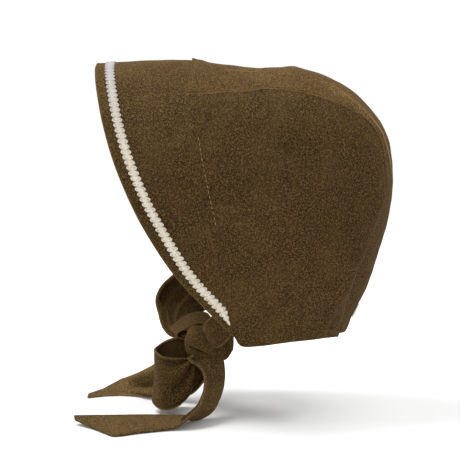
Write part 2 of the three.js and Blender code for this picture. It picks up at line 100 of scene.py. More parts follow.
# Ribs of the crown from the brim seam over the top to the nape, as shares of its depth, height
# and half width: centre back and down; seam back, down and out; foot back, down and out; bulge; bow.
RIBS = [
    (0.020, 0.000, 0.006, 0.110, 0.62, 0.226, 0.966, 0.86, 0.275, 0.034),
    (0.115, 0.008, 0.108, 0.105, 0.62, 0.262, 1.001, 0.84, 0.285, 0.026),
    (0.270, 0.024, 0.270, 0.098, 0.61, 0.340, 1.002, 0.83, 0.300, 0.013),
    (0.436, 0.026, 0.432, 0.090, 0.61, 0.415, 0.995, 0.83, 0.310, 0.000),
    (0.650, 0.050, 0.630, 0.118, 0.58, 0.490, 0.988, 0.82, 0.270, 0.000),
    (0.830, 0.130, 0.796, 0.174, 0.55, 0.550, 0.986, 0.78, 0.215, 0.000),
    (0.960, 0.255, 0.907, 0.258, 0.53, 0.595, 0.986, 0.73, 0.175, 0.000),
    (1.000, 0.400, 0.948, 0.405, 0.51, 0.630, 0.986, 0.68, 0.165, 0.000),
    (0.996, 0.510, 0.946, 0.494, 0.49, 0.655, 0.987, 0.63, 0.155, 0.000),
    (0.957, 0.650, 0.872, 0.637, 0.45, 0.683, 0.989, 0.57, 0.125, 0.000),
    (0.888, 0.818, 0.795, 0.798, 0.40, 0.706, 0.992, 0.50, 0.080, 0.000),
    (0.812, 0.936, 0.755, 0.922, 0.375, 0.724, 0.995, 0.43, 0.030, 0.000),
    (0.776, 0.999, 0.737, 0.985, 0.36, 0.731, 0.997, 0.40, 0.000, 0.000),
]
# The brim's outer edge from the top to the corner: share along, forward, fall, out.
EDGE = [
    (0.00, 1.000, 0.000, 0.00),
    (0.10, 0.990, 0.020, 0.33),
    (0.20, 0.950, 0.090, 0.62),
    (0.32, 0.870, 0.215, 0.83),
    (0.45, 0.725, 0.375, 0.955),
    (0.60, 0.480, 0.565, 1.00),
    (0.75, 0.150, 0.750, 0.985),
    (0.88, -0.210, 0.895, 0.925),
    (1.00, -0.495, 1.000, 0.855),
]
# Rows across each tie piece: forward, down and out of its two long edges, A then B.
STRAP_LEFT = [
    (0.09, -0.07, 0.76, 0.23, -0.33, 0.75),
    (0.165, 0.045, 0.69, 0.255, -0.165, 0.62),
    (0.22, 0.01, 0.56, 0.265, -0.18, 0.45),
    (0.23, -0.14, 0.45, 0.23, -0.22, 0.23),
    (0.26, -0.16, 0.37, 0.25, -0.23, 0.04),
    (0.31, -0.16, 0.33, 0.33, -0.22, -0.05),
    (0.37, -0.11, 0.32, 0.42, -0.15, -0.09),
    (0.45, -0.02, 0.30, 0.51, -0.005, -0.11),
    (0.40, 0.02, 0.31, 0.43, -0.02, 0.12),
    (0.30, 0.02, 0.34, 0.33, -0.02, 0.24),
]
STRAP_RIGHT = [
    (0.26, -0.12, -0.72, 0.38, -0.71, -0.76),
    (0.29, -0.05, -0.58, 0.56, -0.54, -0.66),
    (0.33, 0.00, -0.44, 0.635, -0.35, -0.49),
    (0.37, 0.04, -0.30, 0.61, -0.15, -0.33),
    (0.40, 0.07, -0.17, 0.575, 0.00, -0.20),
    (0.39, 0.08, -0.05, 0.51, 0.08, -0.08),
    (0.35, 0.08, 0.05, 0.39, 0.02, 0.04),
    (0.30, 0.07, 0.22, 0.31, 0.01, 0.22),
]
LOOP_FRONT = [
    (0.29, 0.14, 0.40, 0.29, 0.20, 0.42),
    (0.36, 0.24, 0.48, 0.35, 0.33, 0.49),
    (0.43, 0.22, 0.54, 0.35, 0.49, 0.53),
    (0.50, 0.21, 0.58, 0.37, 0.70, 0.57),
    (0.56, 0.19, 0.58, 0.46, 0.87, 0.59),
    (0.60, 0.16, 0.51, 0.55, 0.92, 0.54),
    (0.62, 0.14, 0.39, 0.61, 0.91, 0.42),
    (0.60, 0.13, 0.26, 0.64, 0.87, 0.28),
    (0.56, 0.10, 0.16, 0.61, 0.86, 0.17),
    (0.51, 0.07, 0.11, 0.51, 0.90, 0.12),
    (0.43, 0.04, 0.11, 0.38, 0.85, 0.12),
    (0.34, 0.08, 0.16, 0.28, 0.67, 0.16),
    (0.28, 0.16, 0.24, 0.24, 0.40, 0.24),
    (0.27, 0.10, 0.34, 0.26, 0.18, 0.34),
]
LOOP_BACK = [
    (0.26, 0.05, 0.44, 0.27, 0.14, 0.44),
    (0.15, -0.05, 0.51, 0.17, 0.23, 0.51),
    (0.10, -0.11, 0.49, 0.12, 0.25, 0.49),
    (0.07, -0.13, 0.42, 0.09, 0.19, 0.42),
    (0.07, -0.12, 0.33, 0.08, 0.17, 0.33),
    (0.12, -0.07, 0.26, 0.12, 0.19, 0.26),
    (0.22, 0.03, 0.30, 0.22, 0.13, 0.30),
]
TAIL_LONG = [
    (0.30, 0.19, 0.47, 0.22, 0.05, 0.34),
    (0.38, 0.20, 0.62, 0.18, 0.13, 0.30),
    (0.30, 0.29, 0.66, 0.15, 0.28, 0.32),
    (0.26, 0.39, 0.70, 0.14, 0.46, 0.36),
    (0.25, 0.52, 0.76, 0.15, 0.62, 0.41),
    (0.26, 0.64, 0.84, 0.18, 0.76, 0.47),
    (0.29, 0.75, 0.96, 0.22, 0.87, 0.57),
    (0.35, 0.84, 1.07, 0.29, 0.93, 0.65),
    (0.43, 0.93, 1.13, 0.38, 0.93, 0.72),
    (0.53, 0.975, 1.16, 0.49, 0.92, 0.75),
    (0.70, 0.98, 1.26, 0.69, 0.92, 0.74),
    (0.89, 0.98, 1.38, 0.93, 0.92, 0.76),
    (1.03, 0.97, 1.10, 1.08, 0.91, 0.80),
    (1.17, 0.935, 0.90, 1.18, 0.895, 0.84),
]
TAIL_SHORT = [
    (0.24, 0.10, 0.26, 0.24, 0.20, 0.26),
    (0.26, 0.21, 0.11, 0.26, 0.36, 0.08),
    (0.35, 0.27, -0.03, 0.35, 0.57, -0.04),
    (0.51, 0.37, -0.22, 0.51, 0.95, -0.16),
    (0.69, 0.61, -0.46, 0.66, 0.98, -0.22),
    (0.82, 0.79, -0.70, 0.78, 0.98, -0.33),
    (0.939, 0.925, -0.88, 0.92, 0.985, -0.39),
    (1.045, 0.965, -0.60, 1.03, 0.985, -0.36),
    (1.15, 0.965, -0.36, 1.15, 0.985, -0.27),
]
KNOT_PLACE = (0.278, 0.070, 0.355)
TIE_SEAT_BACK = 0.02
TIE_SEAT_LOW = 0.965
TIE_SEAT_HIGH = 0.875

# Soft creases of the side panels: share back, share down the rib, half length and half width in
# millimetres, tilt in degrees, depth in millimetres.
SIDE_CREASES = [
    (0.40, 0.34, 26.0, 2.6, 4.0, 0.45),
    (0.46, 0.42, 30.0, 3.0, -3.0, 0.50),
    (0.43, 0.52, 22.0, 2.8, 6.0, 0.35),
    (0.55, 0.60, 24.0, 3.2, -8.0, 0.35),
    (0.16, 0.70, 16.0, 2.6, 70.0, 0.40),
    (0.70, 0.80, 18.0, 2.8, 60.0, 0.45),
    (0.30, 0.86, 20.0, 3.0, 12.0, 0.35),
]
# Height of the cloth behind the brim seam over the very top: distance from the seam, height.
TOP_STEP = [(0.0, 0.0), (0.7, 2.1), (1.6, 2.0), (5.4, 1.3), (8.4, 1.25), (13.8, 0.0)]
# Dents and peaks along the top: y and half length in millimetres, height.
TOP_DENTS = [(24.0, 8.0, 1.9), (-2.0, 9.0, -0.75), (-22.0, 11.0, 0.5)]
# Pressed folds of the centre panel: share along the ribs, share of the panel's half width.
FRONT_FOLD = [(0.08, 0.38), (0.16, 0.40), (0.20, 0.36), (0.228, 0.0)]
BACK_FOLD = [(0.34, 0.56), (0.38, 0.68), (0.43, 0.76), (0.47, 0.76), (0.50, 0.72), (0.54, 0.70),
             (0.57, 0.64), (0.62, 0.50)]


def rows_at(table, shares):
    """Smooth curve through a table's rows, at shares of its length."""
    table = np.asarray(table, float)
    last = len(table) - 1
    place = np.clip(shares, 0, 1) * last
    k = np.minimum(place.astype(int), last - 1)
    u = (place - k)[..., None]
    ends = np.vstack([2 * table[0] - table[1], table, 2 * table[-1] - table[-2]])
    p0, p1, p2, p3 = (ends[k + i] for i in range(4))
    return 0.5 * (2 * p1 + (p2 - p0) * u + (2 * p0 - 5 * p1 + 4 * p2 - p3) * u ** 2
                  + (3 * p1 - p0 - 3 * p2 + p3) * u ** 3)


def unit(v):
    return v / np.maximum(np.linalg.norm(v, axis=-1, keepdims=True), 1e-9)


def smooth(x):
    x = np.clip(x, 0, 1)
    return x * x * (3 - 2 * x)


def bell(x, width):
    return np.exp(-(x / width) ** 2)


def between(x, start, rise, end, fall):
    """1 between two places, with eased ends."""
    return smooth((x - start) / rise) * (1 - smooth((x - end) / fall))


def level(table, at):
    """Straight lines between a table's pairs."""
    return np.interp(at, *zip(*table))


def along(run, points, at):
    """The points of a line at distances along it."""
    return np.stack([np.interp(at, run, points[:, k]) for k in range(3)], -1)


def crown_place(x, back, down):
    """A point from its shares of the crown's half width, depth and height."""
    return np.stack([x * HALF_WIDTH, -SEAM_FORWARD + back * CROWN_DEPTH,
                     SEAM_RISE - down * CROWN_HEIGHT], -1)


def centre_point(t, s):
    """Centre panel: t from the brim seam to the nape, s from -1 to 1 between the side seams."""
    r = rows_at(RIBS, t)
    back = r[..., 0] + (r[..., 2] - r[..., 0]) * s * s
    down = r[..., 1] + (r[..., 3] - r[..., 1]) * s * s
    return crown_place(s * r[..., 4], back, down)


def side_point(t, q):
    """Left side panel: t as above, q from the panel seam to the hem."""
    r = rows_at(RIBS, t)
    out = r[..., 4] + (r[..., 7] - r[..., 4]) * q + r[..., 8] * np.sin(np.pi * q ** 0.7)
    back = r[..., 2] + (r[..., 5] - r[..., 2]) * q - r[..., 9] * np.sin(np.pi * q ** 0.7) * (1 - q)
    down = r[..., 3] + (r[..., 6] - r[..., 3]) * q
    return crown_place(out, back, down)


def edge_point(half):
    """The brim's outer edge, half being 0 at the top and 1 at a corner."""
    index = np.interp(half, [row[0] for row in EDGE], np.linspace(0, 1, len(EDGE)))
    r = rows_at(EDGE, index)
    return np.stack([r[..., 3] * HALF_WIDTH, -SEAM_FORWARD - r[..., 1] * BRIM_REACH,
                     SEAM_RISE - BRIM_TOP_FALL - r[..., 2] * BRIM_HEIGHT], -1)


CROWN_MIDDLE = np.array([0.0, 0.0, -CROWN_HEIGHT / 2])


def normals(grid, outward=True):
    n = unit(np.cross(np.gradient(grid, axis=0), np.gradient(grid, axis=1)))
    if outward and np.sum(n * (grid - CROWN_MIDDLE)) < 0:
        n = -n
    return n


def lengths(grid, axis):
    """Distance along an axis of a grid from its first line."""
    step = np.linalg.norm(np.diff(grid, axis=axis), axis=-1)
    zero = np.zeros_like(np.take(step, [0], axis=axis))
    return np.concatenate([zero, np.cumsum(step, axis=axis)], axis=axis)


def ripple(points, wavelength, seed):
    """Smooth noise between -1 and 1 made of a few waves in fixed random directions."""
    rng = np.random.default_rng(seed)
    total = np.zeros(points.shape[:-1])
    for _ in range(7):
        direction = unit(rng.normal(size=3))
        total += np.sin(points @ direction * 2 * np.pi / (wavelength * rng.uniform(0.7, 1.5))
                        + rng.uniform(0, 2 * np.pi))
    return total / 4


def mirrored(grid):
    return grid * np.array([-1.0, 1.0, 1.0])


# Lines of the crown's grids, closer where a seam, welt or hem needs them
T_LINES = np.concatenate([np.linspace(0.00005, 0.085, 26), np.linspace(0.092, 0.982, 130),
                          1 - np.array([0.014, 0.009, 0.006, 0.004, 0.0022, 0.001, 0.0004, 0])])
Q_LINES = np.concatenate([np.linspace(0.00004, 0.04, 15), np.linspace(0.046, 0.985, 135),
                          1 - np.array([0.009, 0.0062, 0.0042, 0.0028, 0.0016, 0.0008, 0.0003, 0])])
S_HALF = np.concatenate([np.linspace(0, 0.86, 42)[1:], np.linspace(0.88, 0.9998, 10)])
S_LINES = np.concatenate([-S_HALF[::-1], [0], S_HALF])
R_LINES = np.concatenate([np.linspace(0.0001, 0.07, 8), np.linspace(0.09, 0.965, 40),
                          1 - np.array([0.022, 0.016, 0.011, 0.007, 0.004, 0.0018, 0.0007, 0])])

SIDE = side_point(*np.meshgrid(T_LINES, Q_LINES, indexing="ij"))
CENTRE = centre_point(*np.meshgrid(T_LINES, S_LINES, indexing="ij"))
SIDE_NORMAL = normals(SIDE)
CENTRE_NORMAL = normals(CENTRE)
SIDE_FRONT = lengths(SIDE, 0)
CENTRE_FRONT = lengths(CENTRE, 0)
SIDE_PANEL = lengths(SIDE, 1)
CENTRE_MIDDLE = np.abs(lengths(CENTRE, 1) - lengths(CENTRE, 1)[:, len(S_HALF):len(S_HALF) + 1])
CENTRE_PANEL = CENTRE_MIDDLE[:, -1:] - CENTRE_MIDDLE
PANEL_SHARED = unit(SIDE_NORMAL[:, 0] + CENTRE_NORMAL[:, -1])

# The brim's columns follow the crown's front edge from corner to corner.
front_side = side_point(np.zeros_like(Q_LINES), Q_LINES)
front_centre = centre_point(np.zeros_like(S_LINES), S_LINES)
FRONT = np.concatenate([mirrored(front_side[::-1]), front_centre, front_side])
FRONT_COUNT = len(FRONT)
front_along = lengths(FRONT, 0)
front_half = np.abs(front_along / front_along[-1] * 2 - 1)
BRIM_EDGE = edge_point(front_half)
BRIM_EDGE[:FRONT_COUNT // 2, 0] *= -1


def eased_front():
    """The front seam with its two small corners rounded off, for the brim away from the seam."""
    run = front_along
    reach = np.linspace(-2, 2, 9)
    weights = bell(reach, 1.0)
    total = np.zeros_like(FRONT)
    for offset, weight in zip(reach, weights / weights.sum()):
        at = np.clip(run + offset * CORNER_EASE, 0, run[-1])
        total += along(run, FRONT, at) * weight
    near = np.minimum(run, run[-1] - run)[:, None]
    return FRONT + (total - FRONT) * smooth(near / (2.5 * CORNER_EASE))


EASED = eased_front()


def brim_grid(reach):
    """Points of the brim at rows of reach, with the seam's small corners eased out of it."""
    r = np.asarray(reach)[:, None, None]
    ease = (EASED - FRONT)[None] * smooth(r / 0.15) * (1 - r)
    return FRONT[None] * (1 - r) + BRIM_EDGE[None] * r + ease


BRIM = brim_grid(R_LINES)
BRIM_NORMAL = normals(BRIM)
crown_front_normal = np.concatenate([mirrored(SIDE_NORMAL[0, ::-1]), CENTRE_NORMAL[0],
                                     SIDE_NORMAL[0]])
corner_left = len(Q_LINES) + len(S_LINES)
crown_front_normal[corner_left - 1:corner_left + 1] = PANEL_SHARED[0]
crown_front_normal[len(Q_LINES) - 1:len(Q_LINES) + 1] = PANEL_SHARED[0] * [-1, 1, 1]
FRONT_SHARED = unit(BRIM_NORMAL[0] + crown_front_normal)
BLEND = 5.0


def blended(own, to_front, front_shared, to_panel=None, panel_shared=None):
    """Normals that turn to the seams' shared directions close to each seam."""
    f = smooth(to_front / BLEND)[..., None]
    if to_panel is None:
        return unit(own * f + front_shared * (1 - f))
    p = smooth(to_panel / BLEND)[..., None]
    return unit(f * (p * own + (1 - p) * panel_shared) + (1 - f) * front_shared)


def welt(d, rise):
    """Height of the turned allowance behind the brim seam, flat up to its topstitch."""
    flat = smooth((d + 0.4) / 1.3) * (1 - smooth((d - WELT_WIDTH + 1.6) / 3.4)) * rise
    return flat - 0.12 * bell(d, 0.6) - 0.3 * bell(d - WELT_WIDTH, 0.55)


def ridge(d, rise):
    """Height of a plain seam's rolled edge."""
    return rise * bell(d - 1.0, 1.1) - 0.3 * bell(d, 0.45)


def rounded(edge_distance, wall):
    """Share of a wall's thickness left near a free edge, as a half round."""
    x = 1 - np.clip(edge_distance / (wall / 2), 0, 1)
    return np.sqrt(np.clip(1 - x * x, 0, 1))


def wall_grids(middle, n, rise, wall, edge):
    """Outer and inner grids of a wall, rounded off at its free edges."""
    half = wall / 2
    share = rounded(edge, wall)
    return (middle + n * (rise - half + half * share)[..., None],
            middle - n * (half + half * share)[..., None])


def creases(points, table):
    """Shallow folds across a side panel, each a soft trough with a raised flank."""
    total = np.zeros(points.shape[:-1])
    for back, drop, half_length, half_width, tilt, depth in table:
        place = side_point(np.array(back), np.array(drop))
        y = points[..., 1] - place[1]
        z = points[..., 2] - place[2]
        a = math.radians(tilt)
        u = y * math.cos(a) + z * math.sin(a)
        v = -y * math.sin(a) + z * math.cos(a) + 0.02 * u * u / half_length
        span = bell(u, half_length)
        total += span * depth * (bell(v - 1.6 * half_width, half_width) - bell(v, half_width))
    return total


def wall_faces(rows, cols):
    """Quads of a closed wall whose outer grid comes first, then its inner grid."""
    i, j = np.meshgrid(np.arange(rows - 1), np.arange(cols - 1), indexing="ij")
    a = (i * cols + j).ravel()
    top = np.stack([a, a + cols, a + cols + 1, a + 1], -1)
    low = top[:, ::-1] + rows * cols
    rim = np.concatenate([np.arange(cols), cols - 1 + cols * np.arange(1, rows),
                          rows * cols - 2 - np.arange(cols - 1), cols * np.arange(rows - 2, 0, -1)])
    after = np.roll(rim, -1)
    sides = np.stack([rim, after, after + rows * cols, rim + rows * cols], -1)
    return np.concatenate([top, low, sides])


def placed(name, data):
    obj = bpy.data.objects.new(name, data)
    bpy.context.collection.objects.link(obj)
    return obj


def make_mesh(name, points, faces, material, lift, crease_angle, tone=None):
    """A piece of the part from points in millimetres, with its lift and tone attributes."""
    mesh = bpy.data.meshes.new(name)
    mesh.from_pydata((points * MM).tolist(), [], faces.tolist())
    for key, values in (("lift", lift), ("tone", tone)):
        if values is not None:
            values = values.astype(np.float32).ravel()
            mesh.attributes.new(key, "FLOAT", "POINT").data.foreach_set("value", values)
    bm = bmesh.new()
    bm.from_mesh(mesh)
    bmesh.ops.remove_doubles(bm, verts=bm.verts, dist=2e-6)
    bmesh.ops.dissolve_degenerate(bm, dist=1e-6, edges=bm.edges)
    bmesh.ops.recalc_face_normals(bm, faces=bm.faces)
    bm.to_mesh(mesh)
    bm.free()
    mesh.shade_smooth()
    mesh.set_sharp_from_angle(angle=math.radians(crease_angle))
    mesh.materials.append(material)
    obj = placed(name, mesh)
    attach(obj, "root")
    return obj


def wall_piece(name, outer, inner, material, lift=None, tone=None, crease_angle=50.0, both=False):
    """A closed wall between two grids. Its inner face has lift and tone only if both is set."""
    points = np.concatenate([outer.reshape(-1, 3), inner.reshape(-1, 3)])
    lift, tone = (None if v is None else np.concatenate([v.ravel(), v.ravel() * both])
                  for v in (lift, tone))
    return make_mesh(name, points, wall_faces(*outer.shape[:2]), material, lift, crease_angle, tone)


def line_behind(outer, normal, distance):
    """The welt's topstitch line on one panel, with the normals along it."""
    return tuple(np.array([along(distance[:, j], grid[:, j], WELT_WIDTH) for j in range(grid.shape[1])])
                 for grid in (outer, normal))


def thread_stitches(name, lines, material, pitch=STITCH_PITCH, length=STITCH_LENGTH,
                    radius=STITCH_RADIUS, sides=6, rings=5):
    """Short rounded stitches along lines of (points, normals), joined in one mesh."""
    stitch = [[i * sides + j, i * sides + (j + 1) % sides, (i + 1) * sides + (j + 1) % sides,
               (i + 1) * sides + j] for i in range(rings - 1) for j in range(sides)]
    stitch += [list(range(sides))[::-1], list(range((rings - 1) * sides, rings * sides))]
    arch = np.sin(np.linspace(0, np.pi, rings))
    width = radius * np.sqrt(np.clip(arch + 0.12, 0, 1))
    angle = np.linspace(0, 2 * np.pi, sides, endpoint=False)
    all_points = []
    for points, line_normals in lines:
        run = lengths(points, 0)
        for n in range(int(run[-1] / pitch)):
            places = (n + 0.5) * pitch + np.linspace(-0.5, 0.5, rings) * length
            spine = along(run, points, places)
            up = unit(along(run, line_normals, places))
            forward = unit(np.gradient(spine, axis=0))
            across = unit(np.cross(forward, up))
            ring = (across[:, None] * np.cos(angle)[None, :, None]
                    + up[:, None] * np.sin(angle)[None, :, None]) * width[:, None, None]
            centre = spine + up * (arch * radius * 0.9 - radius * 0.35)[:, None]
            all_points.append((centre[:, None] + ring).reshape(-1, 3))
    faces = [[n * rings * sides + v for v in face] for n in range(len(all_points)) for face in stitch]
    mesh = bpy.data.meshes.new(name)
    mesh.from_pydata((np.concatenate(all_points) * MM).tolist(), [], faces)
    mesh.shade_smooth()
    mesh.materials.append(material)
    obj = placed(name, mesh)
    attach(obj, "root")
    return obj


# Materials
def linear(r, g, b):
    """A colour's linear values, from its values between 0 and 255."""
    return tuple((c / 255 / 12.92) if c / 255 <= 0.04045 else ((c / 255 + 0.055) / 1.055) ** 2.4
                 for c in (r, g, b)) + (1.0,)


class Nodes:
    """A short way to lay out a node material."""

    def __init__(self, name, roughness, sheen):
        self.material = bpy.data.materials.new(name)
        self.material.use_nodes = True
        self.tree = self.material.node_tree
        self.shader = self.tree.nodes["Principled BSDF"]
        self.shader.inputs["Roughness"].default_value = roughness
        self.shader.inputs["Specular IOR Level"].default_value = 0.06
        self.shader.inputs["Sheen Weight"].default_value = sheen
        self.shader.inputs["Sheen Roughness"].default_value = 0.5
        self.place = self.add("ShaderNodeTexCoord").outputs["Object"]

    def add(self, kind, **settings):
        node = self.tree.nodes.new(kind)
        for key, value in settings.items():
            setattr(node, key, value)
        return node

    def link(self, source, target):
        self.tree.links.new(source, target)

    def noise(self, scale, detail=2.0, rough=0.5, stretch=None):
        source = self.place
        if stretch:
            mapping = self.add("ShaderNodeMapping")
            mapping.inputs["Scale"].default_value = stretch
            self.link(source, mapping.inputs["Vector"])
            source = mapping.outputs["Vector"]
        node = self.add("ShaderNodeTexNoise")
        node.inputs["Scale"].default_value = scale
        node.inputs["Detail"].default_value = detail
        node.inputs["Roughness"].default_value = rough
        self.link(source, node.inputs["Vector"])
        return node.outputs["Fac"]

    def span(self, value, low, high, to_low=0.0, to_high=1.0):
        node = self.add("ShaderNodeMapRange")
        node.inputs["From Min"].default_value = low
        node.inputs["From Max"].default_value = high
        node.inputs["To Min"].default_value = to_low
        node.inputs["To Max"].default_value = to_high
        self.link(value, node.inputs["Value"])
        return node.outputs["Result"]

    def math(self, operation, a, b):
        node = self.add("ShaderNodeMath", operation=operation)
        for socket, value in zip(node.inputs, (a, b)):
            if isinstance(value, (int, float)):
                socket.default_value = value
            else:
                self.link(value, socket)
        return node.outputs["Value"]

    def mix(self, amount, a, b):
        node = self.add("ShaderNodeMix", data_type="RGBA", blend_type="MIX")
        for name, value in (("Factor", amount), ("A", a), ("B", b)):
            socket = next(s for s in node.inputs if s.name == name and s.enabled)
            if isinstance(value, (int, float, tuple)):
                socket.default_value = value
            else:
                self.link(value, socket)
        return next(s for s in node.outputs if s.enabled)

    def bump(self, height, distance, strength=1.0, below=None):
        node = self.add("ShaderNodeBump")
        node.inputs["Strength"].default_value = strength
        node.inputs["Distance"].default_value = distance
        self.link(height, node.inputs["Height"])
        if below is not None:
            self.link(below, node.inputs["Normal"])
        return node.outputs["Normal"]

    def attribute(self, name):
        return self.add("ShaderNodeAttribute", attribute_name=name).outputs["Fac"]


def wool_material(name, dark, middle, light):
    """Heathered wool: dark and light fibres mixed under a short nap. The lift attribute paints
    highlight where it is above 0, on ridges and edges, and paints shade where it is below 0, in
    creases and grooves; the tone attribute makes the cloth paler, as painted light."""
    dark, middle, light, painted_highlight = (linear(*colour) for colour in (dark, middle, light, PAINTED_HIGHLIGHT))
    m = Nodes(name, 0.95, 0.1)
    m.shader.inputs["Sheen Tint"].default_value = linear(200, 160, 104)
    grain = m.noise(930, 3.0, 0.75)
    fibre = m.noise(1400, 2.0, 0.6, (1.0, 0.6, 2.2))
    cloud = m.noise(48, 2.0, 0.5)
    broad = m.noise(12, 2.0, 0.5)
    lift = m.attribute("lift")
    colour = m.mix(m.span(grain, 0.37, 0.50), dark, middle)
    colour = m.mix(m.span(grain, 0.50, 0.64), colour, light)
    colour = m.mix(m.span(fibre, 0.48, 0.72, 0.0, 0.35), colour, light)
    colour = m.mix(m.span(fibre, 0.26, 0.46, 0.40, 0.0), colour, dark)
    colour = m.mix(m.span(cloud, 0.40, 0.70, 0.0, 0.16), colour, light)
    colour = m.mix(m.span(broad, 0.35, 0.65, 0.0, 0.18), colour, dark)
    # Painted highlight: lift above 0 mixes in the light colour, then the pale highlight colour
    colour = m.mix(m.span(lift, 0.0, 1.0, 0.0, 0.75), colour, light)
    colour = m.mix(m.span(lift, 1.0, 2.0, 0.0, 0.8), colour, painted_highlight)
    # Painted shade: lift below 0 mixes in a much darker colour
    painted_shade = tuple(c * 0.35 for c in dark[:3]) + (1.0,)
    colour = m.mix(m.span(lift, -1.0, 0.0, 0.8, 0.0), colour, painted_shade)
    # Painted light: tone scales the colour paler
    paler = m.add("ShaderNodeVectorMath", operation="SCALE")
    m.link(colour, paler.inputs[0])
    m.link(m.math("ADD", m.math("MULTIPLY", m.attribute("tone"), 0.3), 1.0), paler.inputs["Scale"])
    m.link(paler.outputs["Vector"], m.shader.inputs["Base Color"])
    nap = m.math("ADD", m.math("MULTIPLY", grain, 0.7), m.math("MULTIPLY", fibre, 0.5))
    normal = m.bump(nap, 0.0009, 0.8)
    m.link(m.bump(m.noise(2300, 2.0, 0.6), 0.0003, 0.5, normal), m.shader.inputs["Normal"])
    return m.material


def braid_material():
    """Cream cotton braid: fine threads, brown where the wool shows through its holes, painted shade in
    the notches between petals, and greyed by tone as painted shade.
    """
    m = Nodes("braid", 0.85, 0.1)
    thread = m.noise(1400, 2.0, 0.6)
    soil = m.noise(60, 2.0, 0.5)
    lift = m.attribute("lift")
    knots = m.noise(620, 2.0, 0.6)
    colour = m.mix(m.span(thread, 0.3, 0.7), linear(196, 187, 169), linear(234, 226, 212))
    colour = m.mix(m.span(knots, 0.38, 0.56, 0.5, 0.0), colour, linear(162, 150, 126))
    colour = m.mix(m.span(soil, 0.4, 0.7, 0.0, 0.25), colour, linear(205, 192, 168))
    # Painted shade: grey where tone is high
    colour = m.mix(m.attribute("tone"), colour, linear(146, 144, 145))
    colour = m.mix(m.span(lift, -1.0, 0.0, 0.92, 0.0), colour, linear(96, 80, 56))
    m.link(colour, m.shader.inputs["Base Color"])
    m.link(m.bump(thread, 0.0003, 0.5), m.shader.inputs["Normal"])
    return m.material


def thread_material(name, dark, light):
    m = Nodes(name, 0.8, 0.0)
    twist = m.noise(1800, 1.0, 0.5)
    m.link(m.mix(m.span(twist, 0.35, 0.65), linear(*dark), linear(*light)),
           m.shader.inputs["Base Color"])
    m.link(m.bump(twist, 0.0001, 0.6), m.shader.inputs["Normal"])
    return m.material


def tape_material():
    m = Nodes("label_tape", 0.8, 0.0)
    weave = m.noise(1300, 1.0, 0.5, (1.0, 1.0, 3.0))
    m.link(m.mix(m.span(weave, 0.3, 0.7), linear(204, 198, 182), linear(232, 228, 214)),
           m.shader.inputs["Base Color"])
    m.link(m.bump(weave, 0.0002, 0.5), m.shader.inputs["Normal"])
    return m.material


# Pale colour of the painted highlights on the wool
PAINTED_HIGHLIGHT = (172, 146, 104)
WOOL = wool_material("wool", (24, 15, 5), (57, 41, 19), (109, 87, 53))
TIE_WOOL = wool_material("wool_tie", (22, 13, 4), (53, 38, 17), (104, 82, 47))
# The tails' wool: a paler copy of the tie wool, painted light on the tails
TAIL_WOOL_LIT = wool_material("wool_tail_lit", (30, 20, 7), (69, 51, 26), (127, 103, 66))
BRAID = braid_material()
TAN_THREAD = thread_material("thread_tan", (138, 114, 76), (178, 152, 108))
BROWN_THREAD = thread_material("thread_brown", (72, 55, 30), (112, 90, 56))
TAPE = tape_material()


# Crown and brim. Along the crest the panel seam has a painted highlight, and below the crest painted
# shade along the seam stands in for a crease.
CREST = (1 - smooth((T_LINES - 0.40) / 0.06))[:, None]


def crown_side(name, sign):
    front = SIDE_FRONT
    n = blended(SIDE_NORMAL, front, FRONT_SHARED[-len(Q_LINES):][None], SIDE_PANEL,
                PANEL_SHARED[:, None])
    hem = np.minimum(SIDE_PANEL[:, -1:] - SIDE_PANEL, front[-1:] - front)
    away = smooth((SIDE_PANEL - 6) / 20) * smooth((front - 8) / 20)
    soft = 0.55 * ripple(SIDE, 55.0, 3 + sign) + 0.16 * ripple(SIDE, 13.0, 7 + sign)
    pucker = bell(SIDE_PANEL - 3.0, 4.5) * 0.22 * ripple(SIDE, 9.0, 11 + sign)
    pucker = pucker + bell(front - WELT_WIDTH - 1.5, 3.0) * 0.16 * ripple(SIDE, 7.0, 13 + sign)
    uneven = 0.75 + 0.4 * ripple(SIDE, 11.0, 17 + sign)
    seam = ridge(SIDE_PANEL, 0.6 * uneven) * smooth(front / 3)
    seam = seam + welt(front, WELT_RISE) * smooth(SIDE_PANEL / 2)
    rise = away * (soft + creases(SIDE, SIDE_CREASES)) + pucker + seam
    hem_fold = (0.25 * bell(hem - SIDE_HEM, 1.2) * away
                - 0.3 * bell(hem - SIDE_HEM - 1.6, 1.0) * away)
    rise = (rise + hem_fold) * smooth(hem / 1.5)
    outer, inner = wall_grids(SIDE, n, rise, CROWN_WALL, hem)
    # Painted highlight on the seam's ridge along the crest, painted shade along it below the crest and
    # just beside it, a faint highlight at the brim seam, painted shade in the topstitch line and a
    # highlight on the hem's edge
    lift = (bell(SIDE_PANEL - 0.7, 0.75) * (1.6 * uneven * CREST - 0.9 * (1 - CREST))
            - 0.3 * bell(SIDE_PANEL - 3.0, 1.6) * CREST + 0.06 * bell(front, 0.9)
            - 0.12 * bell(front - WELT_WIDTH, 0.5) + 0.35 * bell(hem, 1.0))
    if sign < 0:
        outer, inner, n = mirrored(outer), mirrored(inner), mirrored(n)
    piece = wall_piece(name + "_cloth", outer, inner, WOOL, lift)
    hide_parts(name)
    return outer, n


